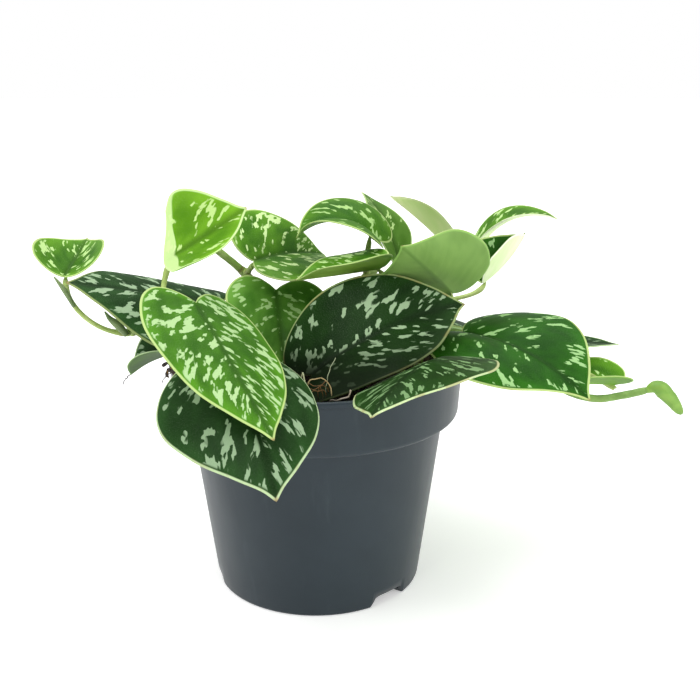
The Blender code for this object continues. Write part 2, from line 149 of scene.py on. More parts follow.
class Finish:
    # a material with short calls for its nodes
    def __init__(self, name, roughness, specular):
        self.material = bpy.data.materials.new(name)
        self.material.use_nodes = True
        self.tree = self.material.node_tree
        self.shader = self.tree.nodes["Principled BSDF"]
        self.set(self.shader, {"Roughness": roughness, "Specular IOR Level": specular})

    def put(self, socket, value):
        if isinstance(value, bpy.types.NodeSocket):
            self.tree.links.new(value, socket)
        elif value is not None:
            socket.default_value = value

    def set(self, node, values):
        for key, value in values.items():
            self.put(node.inputs[key], value)

    def node(self, kind, inputs=None, **settings):
        made = self.tree.nodes.new(kind)
        for key, value in settings.items():
            setattr(made, key, value)
        self.set(made, inputs or {})
        return made

    def math(self, operation, a, b, clamp=False):
        return self.node("ShaderNodeMath", {0: a, 1: b}, operation=operation, use_clamp=clamp).outputs[0]

    def times(self, a, b):
        return self.math("MULTIPLY", a, b)

    def vector(self, operation, *inputs, output=0):
        return self.node("ShaderNodeVectorMath", dict(enumerate(inputs)), operation=operation).outputs[output]

    def mix(self, factor, under, over):
        # the first two colours
        made = self.node("ShaderNodeMix", data_type="RGBA")
        self.set(made, {0: factor, 6: paint(under), 7: paint(over)})
        self.colour = made.outputs[2]

    def coat(self, factor, over):
        # lays one more colour over those before
        self.mix(factor, self.colour, over)

    def step(self, value, low, high, start=0.0, end=1.0):
        # from start at low to end at high, smoothly; low may be the larger
        settings = dict(enumerate((value, low, high, start, end)))
        return self.node("ShaderNodeMapRange", settings, interpolation_type="SMOOTHSTEP").outputs[0]

    def value(self, key):
        return self.node("ShaderNodeAttribute", attribute_name=key).outputs["Fac"]

    def moved(self, vector, scale, shift=(0, 0, 0)):
        settings = {"Vector": vector, "Scale": scale, "Location": shift}
        return self.node("ShaderNodeMapping", settings).outputs[0]

    def veins(self, scale=(1, 1, 1), shift=(0, 0, 0)):
        return self.moved(self.node("ShaderNodeUVMap", uv_map="veins").outputs[0], scale, shift)

    def place(self, scale=(1, 1, 1)):
        return self.moved(self.node("ShaderNodeTexCoord").outputs["Object"], scale)

    def axis(self, name):
        return self.node("ShaderNodeSeparateXYZ", {"Vector": self.place()}).outputs[name]

    def noise(self, vector, scale, detail=2.0, roughness=0.5):
        settings = {"Vector": vector, "Scale": scale, "Detail": detail, "Roughness": roughness}
        return self.node("ShaderNodeTexNoise", settings).outputs

    def cells(self, vector, scale, **settings):
        return self.node("ShaderNodeTexVoronoi", {"Vector": vector, "Scale": scale}, **settings).outputs

    def bump(self, height, distance, strength):
        made = self.node("ShaderNodeBump", {"Height": height, "Distance": distance, "Strength": strength})
        return made.outputs[0]

    def done(self, roughness=None, normal=None):
        self.set(self.shader, {"Base Color": paint(self.colour), "Roughness": roughness, "Normal": normal})
        return self.material


def roundedPath(corners, steps):
    # a path of (radius, height, rounding) corners, each corner turned into an arc
    corners = np.asarray(corners, float)
    path = [corners[:1, :2]]
    t = np.linspace(0, 1, steps + 1)[:, None]
    for before, here, after in zip(corners, corners[1:], corners[2:]):
        back, on = before[:2] - here[:2], after[:2] - here[:2]
        start = here[:2] + unit(back) * here[2]
        end = here[:2] + unit(on) * here[2]
        path.append(start if here[2] == 0 else (1 - t)**2 * start + 2 * t * (1 - t) * here[:2] + t**2 * end)
    path.append(corners[-1:, :2])
    return np.vstack(path)


def revolvedMesh(profile, sides, lift=None):
    # profile (radius, height) turned about the z axis, its two ends on the axis; lift moves points up
    angle = np.linspace(0, 2 * np.pi, sides, endpoint=False)[None, :]
    radius, height = profile[:, :1], profile[:, 1:]
    x, y, z = radius * np.cos(angle), radius * np.sin(angle), height + 0 * angle
    if lift is not None:
        z = z + lift(x, y, height)
    return closedRings(np.stack([x, y, z], axis=-1))[:2]


potShape = dict(
    rimRadius=60.0, height=95.0, collar=22.0, draft=1.2, step=5.8, baseRadius=43.0, wall=1.5, floor=1.6,
    lip=2.2, lipProud=0.5, sides=240, cornerSteps=6, rowHeight=6.0, slotAngles=(-49, 71, 191), slotWidth=27,
    slotHeight=5, slotDepth=7, slotTaper=0.72, slotDome=0.9, slotUnder=1.0, slotOut=4.0, slotColumns=25,
)
potLook = dict(
    plastic=((31, 43, 50), (36, 48, 55)), smear=(92, 100, 106), smearShare=0.16, dust=(190, 195, 198),
    grainDepth=0.00006, sheen=0.16, sheenRoughness=0.35,
)


def potFinish():
    # satin plastic: fine moulded grain, faint upright smears and specks of dust
    look, finish = potLook, Finish("slatePlastic", 0.42, 0.3)
    place = finish.place()
    grain = finish.noise(place, 1900, 3)[0]
    cloud = finish.noise(place, 26, 4, 0.6)[0]
    smear = finish.noise(finish.place((1, 1, 0.16)), 95, 4, 0.6)[0]
    finish.mix(finish.step(cloud, 0.35, 0.7), *look["plastic"])
    finish.coat(finish.step(smear, 0.55, 0.8, 0, look["smearShare"]), look["smear"])
    speck = finish.cells(place, 130)
    fleck = finish.times(finish.step(speck[0], 0.05, 0.02),
                        finish.step(finish.noise(place, 60, 1)[0], 0.60, 0.66))
    finish.coat(fleck, look["dust"])
    roughness = finish.step(smear, 0.3, 0.8, 0.40, 0.50)
    normal = finish.bump(grain, look["grainDepth"], 0.5)
    finish.set(finish.shader, {"Sheen Weight": look["sheen"], "Sheen Roughness": look["sheenRoughness"]})
    return finish.done(roughness, normal)


def potOutline():
    # radii outside: under the lip, at the collar's foot and below the step; then the height of the step
    s = potShape
    neck = s["rimRadius"] - s["lipProud"]
    edge = neck - s["draft"]
    return neck, edge, edge - s["step"], s["height"] - s["collar"]


def makePot():
    # a rounded profile, up the outside and down the inside, with slots cut through its bottom corner
    s, (neck, edge, body, stepUp) = potShape, potOutline()
    lip, top, wall = s["height"] - s["lip"], s["height"], s["wall"]
    profile = roundedPath([
        (0, 0, 0), (s["baseRadius"], 0, 1.3), (body, stepUp, 1.2), (edge, stepUp, 2.6), (neck, lip, 0.35),
        (s["rimRadius"], lip, 0.4), (s["rimRadius"], top, 0.9), (neck - wall, top, 0.5),
        (edge - wall, stepUp + wall, 1.5), (body - wall, stepUp + wall, 1.0),
        (s["baseRadius"] - wall, s["floor"], 1.0), (0, s["floor"], 0),
    ], s["cornerSteps"])
    long = np.linalg.norm(np.diff(profile, axis=0), axis=1)
    profile = np.vstack([np.linspace(a, b, max(1, int(n / s["rowHeight"])), endpoint=False)
                         for a, b, n in zip(profile, profile[1:], long)] + [profile[-1:]])
    pot = makePiece("potShell", *revolvedMesh(profile, s["sides"]), [potFinish()], "pot", ["pot"])
    for middle in np.radians(s["slotAngles"]):
        cutSlot(pot, middle)


def cutSlot(pot, middle):
    # a wedge of a ring with sloping ends and a domed roof, taken out of the bottom corner
    s = potShape
    share = np.linspace(-1, 1, s["slotColumns"])[None, :, None]
    level = np.array([0.0, 1.0])[:, None, None]
    radius = np.array([s["baseRadius"] - s["slotDepth"], s["baseRadius"] + s["slotOut"]])[None, None, :]
    half = np.radians(s["slotWidth"]) / 2 * (1 - (1 - s["slotTaper"]) * level)
    angle = middle + share * half + 0 * radius
    rise = (s["slotHeight"] + s["slotUnder"]) * level
    height = rise - s["slotUnder"] - s["slotDome"] * level * share**6 + 0 * radius
    ring = np.stack([radius * np.cos(angle), radius * np.sin(angle), height], axis=-1)
    loop = np.stack([ring[0, :, 0], ring[0, :, 1], ring[1, :, 1], ring[1, :, 0]], axis=1)
    loop = np.concatenate([loop[:1].mean(axis=1, keepdims=True).repeat(4, 1), loop,
                           loop[-1:].mean(axis=1, keepdims=True).repeat(4, 1)])
    points, triangles, _, _ = closedRings(loop)
    mesh = bpy.data.meshes.new("slotCutter")
    mesh.from_pydata((points * mm).tolist(), [], triangles[:, ::-1].tolist())
    cutter = bpy.data.objects.new(mesh.name, mesh)
    bpy.context.scene.collection.objects.link(cutter)
    cut = pot.modifiers.new("slot", "BOOLEAN")
    cut.operation, cut.solver, cut.object = "DIFFERENCE", "EXACT", cutter
    with bpy.context.temp_override(object=pot, active_object=pot, selected_objects=[pot]):
        bpy.ops.object.modifier_apply(modifier="slot")
    bpy.data.objects.remove(cutter, do_unlink=True)


# waves: sizes of clods and grit, each with its height; snug, proud: how far the sides stay in, the top out
soilShape = dict(
    top=87.0, lump=1.4, gap=0.4, relief=1.5, sides=220, rings=80,
    waves=((9, 0.55), (5, 0.4), (2.9, 0.3), (1.7, 0.2)), snug=0.2, proud=0.25,
)
soilLook = dict(peat=((26, 20, 16), (66, 50, 38)), fibre=(112, 84, 58), chip=(88, 76, 64), depth=0.0012)
crumbShape = dict(
    count=1100, rows=5, columns=8, reach=0.985, least=0.35, more=1.1, stretch=(0.6, 1.3), rough=0.22,
    lift=0.25, flat=0.8,
)


def soilHeight(x, y, rim):
    # the low lumps of the solid, then clods and grit as sums of sines at finer and finer steps
    fall = 1 - (np.hypot(x, y) / rim) ** 4
    wave = np.sin(0.21 * x + 1.1) * np.cos(0.17 * y - 0.6) + 0.5 * np.sin(0.33 * x - 0.41 * y)
    fine = 0
    for k, (size, height) in enumerate(soilShape["waves"]):
        turn = 1.3 * k + 0.4
        u = (x * np.cos(turn) + y * np.sin(turn)) * 2 * np.pi / size
        v = (y * np.cos(turn) - x * np.sin(turn)) * 2 * np.pi / (size * 1.17)
        fine = fine + height * np.sin(u + 1.6 * np.sin(v * 0.7 + k)) * np.sin(v + 1.4 * np.sin(u * 0.6 - k))
    return soilShape["lump"] * fall * wave + fine * ease(0, 6, rim - np.hypot(x, y))


def soilFinish():
    # dark peat with clods, pale fibres, small chips and a rough grain
    look, finish = soilLook, Finish("pottingSoil", 0.92, 0.25)
    place = finish.place()
    clods = finish.noise(place, 230, 5, 0.65)[0]
    grit = finish.noise(place, 1100, 3, 0.6)[0]
    finish.mix(finish.step(clods, 0.35, 0.68), *look["peat"])
    fibre = finish.noise(finish.place((1, 0.2, 1)), 900, 2)[0]
    finish.coat(finish.step(fibre, 0.66, 0.74), look["fibre"])
    chips = finish.cells(place, 420)
    finish.coat(finish.step(chips[0], 0.14, 0.08), look["chip"])
    height = finish.math("ADD", clods, finish.times(grit, 0.35))
    normal = finish.bump(height, look["depth"], 0.9)
    return finish.done(finish.step(grit, 0.3, 0.7, 0.85, 0.98), normal)


def makeSoil():
    # a cast of the pot's inside, a gap smaller all round, with a lumpy top
    p, s, (_, edge, body, stepUp) = potShape, soilShape, potOutline()
    inset = p["wall"] + s["gap"]
    rim = edge + p["draft"] / (p["collar"] - p["lip"]) * (s["top"] - stepUp) - inset + s["proud"]
    roof, foot = p["slotHeight"] + s["relief"], p["baseRadius"] - p["slotDepth"] - s["relief"]
    slope = (body - p["baseRadius"]) / stepUp
    floor = p["floor"] + s["gap"]
    side = [(0, floor), (foot, floor), (foot, roof), (p["baseRadius"] + slope * roof - inset, roof),
            (body - inset - s["snug"], stepUp + p["wall"]),
            (body - inset - s["snug"], stepUp + p["wall"] + s["gap"]),
            (edge - inset, stepUp + p["wall"] + s["gap"]), (rim, s["top"])]
    rings = [(rim * share, s["top"]) for share in np.linspace(1, 0, s["rings"] + 1)[1:]]
    profile = np.array(side + rings, float)

    def lift(x, y, height):
        return np.where(height > s["top"] - 0.5, soilHeight(x, y, rim), 0)

    finish = soilFinish()
    makePiece("soilBed", *revolvedMesh(profile, s["sides"], lift), [finish], "soil", ["soil"])
    makeCrumbs(rim, finish)


def makeCrumbs(rim, finish):
    # one faceted lump of a few dozen faces, copied with its own size, turn and squash at each spot
    s = crumbShape
    count, rows, columns = s["count"], s["rows"], s["columns"]
    polar = np.linspace(0, np.pi, rows)[:, None]
    around = np.linspace(0, 2 * np.pi, columns, endpoint=False)[None, :]
    ball = np.stack([np.sin(polar) * np.cos(around), np.sin(polar) * np.sin(around),
                     -np.cos(polar) + 0 * around], axis=-1)
    ball, triangles, _, _ = closedRings(ball)
    far = rim * np.sqrt(rng.uniform(0, 1, count)) * s["reach"]
    angle = rng.uniform(0, 2 * np.pi, count)
    x, y = far * np.cos(angle), far * np.sin(angle)
    size = s["least"] + s["more"] * rng.uniform(0, 1, count) ** 3
    stretch = rng.uniform(*s["stretch"], (count, 1, 3)) * size[:, None, None]
    turn = rng.uniform(0, 2 * np.pi, count)[:, None]
    lump = ball[None] * (1 + rng.uniform(-s["rough"], s["rough"], (count, len(ball), 1))) * stretch
    cos, sin = np.cos(turn), np.sin(turn)
    px = x[:, None] + cos * lump[..., 0] - sin * lump[..., 1]
    py = y[:, None] + sin * lump[..., 0] + cos * lump[..., 1]
    ground = (soilShape["top"] + soilHeight(x, y, rim))[:, None]
    pz = ground + s["lift"] * size[:, None] + lump[..., 2] * s["flat"]
    points = np.stack([px, py, pz], axis=-1).reshape(-1, 3)
    triangles = (triangles[None] + len(ball) * np.arange(count)[:, None, None]).reshape(-1, 3)
    makePiece("soilCrumbs", points, triangles, [finish], "soil", ["soil"])


# each thread: its colour, its thickness and the points that it passes
threads = {
    "rootUpright": ("root", 0.3, ((-6.2, -44, 88), (-6, -46, 96), (-5.4, -47, 102.4), (-4.4, -49, 100),
        (-4, -50.5, 97.5), (-3, -52, 93), (-2, -52, 87))),
    "rootArch": ("tan", 0.28, ((-4, -47.5, 87), (-3.6, -48, 96), (-2.6, -48, 99.8), (-0.7, -48, 100.3),
        (1.8, -48, 100.5), (3.9, -49, 99), (5.2, -50.5, 96), (6, -51, 87))),
    "rootThin": ("thin", 0.17, ((6.9, -41.5, 106.2), (5.6, -42.4, 104.2), (4.8, -43, 102.6),
        (3.8, -45.5, 99.5), (3, -47, 94), (3, -47, 87))),
    "rootWhite": ("white", 0.32, ((11.9, -54.7, 98), (11.6, -54.6, 96.8), (11.2, -54.3, 95.6),
        (8.5, -54.6, 94.7), (6.7, -54.8, 94.4), (4.8, -54, 94), (3.6, -52.6, 91), (3, -52, 87))),
    "fibreA": ("fibre", 0.2, ((-3.8, -46, 87), (-3.4, -46.8, 97.6), (-1, -48.4, 97.8), (1.8, -48.6, 98.2),
        (3.6, -47, 99), (5, -45, 94), (5.4, -44, 87))),
    "fibreB": ("fibre", 0.2, ((-4.4, -49, 88), (-3.6, -49.6, 96.6), (-1, -50, 97), (2.2, -48.6, 97.8),
        (4.2, -47, 95), (5, -46, 88))),
    "fibreC": ("fibre", 0.18, ((-2.6, -51, 88), (-1.9, -51.4, 96.4), (0.4, -51.2, 96.6), (2.8, -50, 96),
        (4, -49.4, 88))),
    "fibreD": ("fibre", 0.16, ((0, -50, 88), (0.6, -50.6, 98), (1.8, -50.8, 96), (2.6, -51, 88))),
    "clumpTop": ("bark", 0.95, ((-52, -23, 88), (-55, -22.4, 97.4), (-57.5, -22, 99), (-58.8, -22, 98.6),
        (-59.7, -22, 97.9))),
    "clumpMid": ("fibre", 0.5, ((-52, -25, 88), (-54, -25, 97), (-56, -25, 97.9), (-57.4, -25.6, 96.6),
        (-56.8, -26.6, 94.8))),
    "clumpLow": ("bark", 0.9, ((-52, -27, 88), (-54, -27, 95.4), (-55.4, -26, 96.8), (-57, -25, 97.4),
        (-57.6, -25.4, 96.2), (-57.2, -26.4, 95.2))),
    "clumpHair": ("bark", 0.3, ((-50, -29, 88), (-53.4, -28, 97.4), (-56.4, -27, 96.4), (-58.6, -27, 94.4),
        (-59.2, -27.2, 93))),
    "tipHair": ("bark", 0.24, ((-75.6, -1.6, 88.9), (-77, -1.8, 87.9), (-77.6, -2.4, 87.2), (-78.8, -3, 86),
        (-79.2, -3.4, 84.4))),
}


threadShape = dict(rows=90, sides=8, kink=0.12, taper=0.35, knots=0.22)
# each kind of thread: the name of its finish, a young and an old shade, and the shade of its lines
threadSkins = {
    "root": ("rootSkin", (176, 182, 142), (156, 156, 116), (130, 118, 82)),
    "tan": ("tanRoot", (184, 166, 120), (156, 134, 88), (122, 98, 60)),
    "thin": ("thinRoot", (156, 166, 132), (140, 146, 112), (120, 116, 84)),
    "white": ("youngRoot", (204, 192, 174), (178, 162, 140), (136, 116, 94)),
    "fibre": ("coirFibre", (146, 108, 54), (108, 76, 36), (80, 54, 28)),
    "bark": ("driedFibre", (52, 38, 28), (36, 28, 22), (80, 56, 40)),
}


def makeThreads():
    # thin tubes, thickest at the foot, a little kinked; dried ones are knotty
    s = threadShape
    finishes = {kind: stemFinish(*skin, kind != "bark") for kind, skin in threadSkins.items()}
    along = np.linspace(0, 1, s["rows"])
    kinks = s["kink"] * np.stack([np.sin(31 * along), np.cos(27 * along), np.sin(23 * along + 1)], axis=-1)
    for name, (kind, radius, route) in threads.items():
        path = smoothCurve(route, s["rows"]) + kinks
        knots = 1 + s["knots"] * np.sin(37 * along + 5 * radius) * (kind == "bark")
        points, triangles, veins, _ = tubeMesh(path, radius * (1 - s["taper"] * along) * knots, s["sides"])
        node, slot = ("leaf_low_left", "leaf_dark") if name == "tipHair" else ("soil", "soil")
        makePiece(name, points, triangles, [finishes[kind]], slot, [node], veins=veins)


# swell, spread: the ring at a node; scarAt: how far from the node's middle its scar groove lies
vineShape = dict(
    radius=1.6, swell=0.45, spread=2.4, rootDepth=17.0, sides=20, step=0.6, scarAt=2.6, scarDepth=0.16,
    scarWidth=0.45, end=(0.98, 0.92, 0.8, 0.5),
)
vines = {
    "left": ((-30, 6), (-31, 6, 97), (-38, 7, 103), (-52, 8, 105), (-64, 5, 106), (-76, -1, 106)),
    "front_left": ((-30, -28), (-31, -29, 98), (-34, -30, 108), (-45, -31, 115), (-54, -28, 121)),
    "centre_left": ((-19, 30), (-20, 31, 108), (-26, 29, 119), (-34, 26, 128), (-43, 21, 137),
        (-48, 18, 143)),
    "centre": ((6, 12), (8, 16, 104), (15, 22, 116), (22, 27, 123), (28, 30, 127)),
    "right_back": ((38, 20), (40, 21, 98), (46, 25, 105), (54, 34, 111), (59, 45, 117)),
    "front_right": ((34, -7), (35, -8, 95), (39, -7, 99)),
    "right": ((44, 13), (47, 14, 97), (58, 14, 101), (74, 12, 96), (91, 9, 86), (106, 5, 77), (118, 3, 74),
        (129, 1, 76), (139, -1, 79)),
    "back": ((-6, 42), (-5, 43, 98), (0, 44, 104)),
}


def vineRoute(name):
    # straight down into the soil from the first point, and up through the others
    (x, y), *way = vines[name]
    top = soilShape["top"]
    soil = [(x, y, top - vineShape["rootDepth"]), (x, y, top - 8), (x, y, top + 2)]
    return np.array(soil + way, float)


def pointAlong(route, share, steps=59):
    # the place and direction at a share of the way from the soil to the vine's end
    dense = smoothCurve(route[2:], steps + 1)
    here = round(share * steps)
    back = min(here, steps - 1)
    return dense[here], unit(dense[back + 1] - dense[back])


# darkFootLine: the heights, in metres, between which a thread with a dark foot turns to the dark soil colour,
# darker towards the bottom
stemLook = dict(node=(124, 98, 66), soil=(44, 34, 26), darkFootLine=(0.0962, 0.0938), depth=0.00025)


def stemFinish(name, young, old, ripe=(150, 120, 82), darkFoot=False):
    # skin with fine lines along it, browner at the nodes (the "scar" value)
    look, finish = stemLook, Finish(name, 0.46, 0.4)
    line = finish.noise(finish.veins((0.6, 22, 1)), 2.2, 4, 0.6)[0]
    cloud = finish.noise(finish.place(), 160, 3)[0]
    finish.mix(finish.step(cloud, 0.35, 0.65), young, old)
    finish.coat(finish.step(line, 0.5, 0.75, 0, 0.35), ripe)
    scar = finish.times(finish.value("scar"), finish.step(cloud, 0.2, 0.6, 0.5, 1.0))
    finish.coat(scar, look["node"])
    if darkFoot:
        # darker towards the bottom: below these heights the thread takes the dark soil colour
        finish.coat(finish.step(finish.axis("Z"), *look["darkFootLine"]), look["soil"])
    normal = finish.bump(line, look["depth"], 0.5)
    return finish.done(finish.step(line, 0.3, 0.8, 0.40, 0.58), normal)


def makeVine(name, finish):
    # radius plus a low ring round each node, less a thin scar groove beside it, plus slow waves
    s, route = vineShape, vineRoute(name)
    dense = smoothCurve(route[2:], 400)
    dense = np.vstack([np.linspace(route[0], dense[0], 40, endpoint=False), dense])
    length = lengthAlong(dense)[-1]
    path = evenly(dense, int(length / s["step"]))
    shares = [blade["at"] for blade in leaves.values() if blade["vine"] == name]
    spots = np.array([pointAlong(route, share)[0] for share in shares])
    away = np.linalg.norm(path[:, None] - spots[None], axis=-1).min(axis=1)
    along = np.linspace(0, length, len(path))
    radii = s["radius"] + s["swell"] * np.exp(-((away / s["spread"]) ** 2))
    radii = radii - s["scarDepth"] * np.exp(-(((away - s["scarAt"]) / s["scarWidth"]) ** 2))
    radii = radii + 0.06 * np.sin(along * 0.9) * np.sin(along * 0.37 + 1)
    radii[-len(s["end"]):] *= np.array(s["end"])
    points, triangles, veins, row = tubeMesh(path, radii, s["sides"],
                                             lambda angle: 1 + 0.025 * np.sin(3 * angle)[None, :])
    row = np.clip(row - 1, 0, len(path) - 1)
    buried = ease(s["rootDepth"] + 7, s["rootDepth"] - 2, along)
    scar = np.exp(-(((away - s["scarAt"]) / 0.7) ** 2)) * 0.8 + 0.75 * buried
    makePiece(f"vine_{name}", points, triangles, [finish], "vine", [f"stem_{name}"], veins=veins,
              values={"scar": np.clip(scar, 0, 1)[row]})


# thick, edge: half the thickness, in the middle and at the margin; ridge, groove: the midrib's two sides
bladeShape = dict(
    rows=110, half=24, thick=0.34, edge=0.20, ridge=0.5, groove=0.42, grooveWidth=0.75, veinGap=4.6,
    veinRelief=0.07, veinWidth=0.13, wave=0.35, waveLengths=(7.5, 3.9), crowding=1.25,
)
# one half of the blade: shares of its length and of half its width, from the notch round the lobe to the tip
halfOutline = (
    (0.0, 0.0), (-0.055, 0.13), (-0.105, 0.36), (-0.09, 0.62), (0.01, 0.86), (0.19, 1.0),
    (0.42, 0.95), (0.64, 0.72), (0.82, 0.37), (0.92, 0.14), (0.965, 0.055), (1.0, 0.0),
)


def leaf(vine, at, base, heading, pitch, roll, length, width, bend, fold, cup=0, twist=0, lobe=1.0, sweep=0,
         look="mid", under="pale", scorch=0.0, soft=0.05, slot="mid"):
    # the shape as in the solid, then its colours; soft: how far the crease along the midrib is rounded
    return dict(vine=vine, at=at, base=base, heading=heading, pitch=pitch, roll=roll, length=length,
                width=width, bend=bend, fold=fold, cup=cup, twist=twist, lobe=lobe, sweep=sweep,
                look=look, under=under, scorch=scorch, soft=soft, slot=slot)


leaves = {
    "front_bright": leaf("front_left", 0.55, (-42, -52, 130), -57, -32, -15, 63, 52, 3, (-9, 0), 0, 8,
        look="bright", slot="young"),
    "front_low": leaf("front_left", 0.35, (-32, -58, 112), -68, -14, 0, 62, 62, 39, (-8, -19), -26,
        look="dark", scorch=0.15, under="deep", slot="dark"),
    "top_left": leaf("front_left", 1.0, (-57, -22, 139), -10, 30, 36, 39, 43, -6, (6, 6), 45, 22, 0.5, 0.25,
        look="lime", slot="young"),
    "centre_dark": leaf("centre", 0.12, (-2, -26.6, 95), -2, 40, 43, 70, 56, 50, (-4, 33.5), 0, 36, 1.1,
        look="low", scorch=0.35, under="deep", slot="dark"),
    "rim_front": leaf("front_right", 0.5, (46, -41, 106), -122, 8, 20, 63, 52, 24, (-17, -8), 0, 5, 0.8,
        look="streaky", scorch=0.35, slot="dark"),
    "right_long": leaf("front_right", 1.0, (60, 2, 104), -43, 4, -15, 65, 62, 36, (37, -2), -36, 26, 0.6,
        look="wide", scorch=0.12),
    "big_under": leaf("right_back", 0.45, (58, 18, 117), -120, 30, 26, 63, 47, 6, (22, 14), 0, 16, 0.6,
        soft=0.3, slot="pale"),
    "mid_heart": leaf("centre_left", 0.35, (-17, 18, 119), -82, -40, -12, 44, 46, -4, (13, 14), -11, 1,
        look="veiled"),
    "top_mid": leaf("centre_left", 0.6, (-26, 15, 132), 48, 4, 29, 51, 46, 22, (32, 18), -13, -4,
        look="halfLit", slot="young"),
    "arch": leaf("centre", 0.85, (25, 24, 139), 171, 51, 10, 38, 38, 100, (15, 50), -35, 2, look="hoop"),
    "folded_mid": leaf("centre", 0.6, (27, 1, 132), 182, -10, 3, 36, 40, -4, (40, 34), -40, -6,
        look="grass", under="fresh", slot="young"),
    "behind_arch": leaf("centre", 0.9, (37, 40, 124), 110, 66, 18, 45, 26, 46, (19, 0), 0, 0, 1, 0.3,
        look="shade", under="light"),
    "far_left": leaf("left", 1.0, (-99, -5, 130), 85, 13, 8, 32, 34, -12, (27, 28), 18, -8, 0.7,
        look="grass", slot="young"),
    "left_dark": leaf("left", 0.35, (-39, 3, 117), 208, 15, -23, 63, 54, 3, (2, 2), -52, -7,
        look="silver", under="deep", slot="dark"),
    "low_left": leaf("left", 0.6, (-55, -13, 101), 155, -15, -14, 28, 25, 27, (34, 58), 0, -6,
        look="dark", under="deep", slot="dark"),
    "top_under": leaf("right_back", 0.6, (63.5, 50, 128), 140, 38, 34, 43, 32, 10, (18, 17), 0, 13, 0.5,
        under="sunlit", slot="pale"),
    "right_arch": leaf("right_back", 1.0, (76, 62, 127.5), -12, 68, 3, 43, 31, 90, (12, 18), 0, 10, 0.7,
        look="grass", under="light"),
    "right_fold": leaf("right_back", 0.6, (71.6, 25, 120), 48, 11, -18, 44, 33, -24, (70, 48), 0, 0, 0.5,
        look="wide", under="light", slot="pale"),
    "right_tip": leaf("right", 0.45, (87, 29, 96), 4, -10, 0, 50, 32, -5, (3, 3), look="dark", slot="dark"),
    "right_small": leaf("right", 0.5, (131, 14, 77), 180, 4, 0, 33, 28, 10, (31, 36), 0, 0, 1.2, look="grass",
        under="moss", slot="young"),
    "back_left": leaf("back", 0.4, (-30, 42, 106), 125, -8, 0, 64, 54, 40, (8, 8), -20),
    "back_mid": leaf("back", 1.0, (14, 50, 106), 85, -5, 0, 66, 58, 48, (8, 8), -25,
        look="dark", slot="dark"),
    "back_right": leaf("right_back", 0.3, (46, 44, 102), 40, -10, 0, 62, 50, 40, (4, 4), -20, look="silver"),
}


def look(green, fresh, silver, cover, shine=0.06, cell=(1.9, 0.8), patch=(5, 2.8), rim=(190, 214, 136),
         lip=0.0, paintedShade=None):
    # cover: how much turns silver; cell, patch: sizes of one cell and of a splash; lip: width of a pale lobe
    # rim; paintedShade: slope, top, foot, share of a level under which the blade is darker, a painted shade
    return dict(green=green, fresh=fresh, silver=silver, cover=cover, shine=shine, cell=cell, patch=patch,
                rim=rim, lip=lip, paintedShade=paintedShade)


looks = {
    "bright": look((44, 92, 12), (80, 140, 24), (176, 209, 148), 0.462, patch=(6.5, 2.8)),
    "lime": look((76, 130, 14), (116, 172, 34), (190, 222, 138), 0.40, patch=(5, 2.6), rim=(208, 236, 162),
        lip=7.0),
    "grass": look((44, 96, 12), (96, 152, 34), (194, 228, 150), 0.425),
    "halfLit": look((48, 102, 14), (102, 160, 38), (214, 242, 170), 0.43, paintedShade=(0, 0.145, 0.132, 0.3)),
    "veiled": look((56, 108, 28), (106, 160, 60), (172, 210, 138), 0.41, paintedShade=(-0.1, 0.117, 0.103, 0.38)),
    "hoop": look((40, 90, 14), (80, 130, 30), (166, 204, 126), 0.42),
    "mid": look((22, 66, 8), (42, 98, 12), (140, 184, 112), 0.41, patch=(5.5, 2.8)),
    "wide": look((20, 66, 6), (40, 100, 12), (156, 198, 132), 0.395, 0.05, (2.4, 1.0), (6.6, 3.3)),
    "streaky": look((18, 44, 10), (32, 70, 18), (120, 154, 104), 0.43, cell=(2.2, 0.7), patch=(8, 2.4),
        rim=(204, 224, 168)),
    "silver": look((22, 50, 18), (42, 80, 34), (154, 180, 144), 0.435, 0.04, (2.0, 1.2), (7, 4.2),
        (146, 162, 104)),
    "low": look((14, 40, 9), (28, 62, 17), (156, 182, 144), 0.432, 0.04, (2.0, 1.2), (7, 4.2),
        (166, 186, 124), paintedShade=(-0.16, 0.1085, 0.096, 0.95)),
    "dark": look((21, 48, 16), (36, 71, 28), (144, 170, 134), 0.437, 0.04, (2.0, 1.2), (6.5, 4.0),
        (190, 214, 164)),
    "shade": look((62, 104, 28), (94, 136, 56), (176, 206, 134), 0.40, patch=(6.5, 3.0), rim=(192, 218, 148)),
}
# two shades of each underside and the colour of its midrib, painted light along the ridge: a highlight where
# lighter than the skin, painted shade where darker
undersides = {
    "pale": ((121, 160, 77), (138, 178, 92), (105, 143, 66)),
    "deep": ((54, 84, 34), (80, 112, 54), (92, 122, 66)),
    "light": ((222, 244, 180), (238, 252, 206), (242, 254, 214)),
    # sunlit: brighter than the skin's own colour, painted light standing in for light shining through the
    # thin blade
    "sunlit": ((224, 248, 158), (240, 255, 184), (246, 255, 200)),
    "fresh": ((148, 194, 78), (178, 218, 106), (190, 228, 124)),
    "moss": ((88, 134, 40), (120, 166, 62), (150, 190, 96)),
}


def leafAxes(blade):
    # directions of the midrib, the left half and the upper face at the notch
    heading, pitch, roll = np.radians([blade["heading"], blade["pitch"], blade["roll"]])
    ahead = np.array([np.cos(heading) * np.cos(pitch), np.sin(heading) * np.cos(pitch), np.sin(pitch)])
    level = np.array([-np.sin(heading), np.cos(heading), 0.0])
    over = np.cross(ahead, level)
    return ahead, np.cos(roll) * level + np.sin(roll) * over, np.cos(roll) * over - np.sin(roll) * level


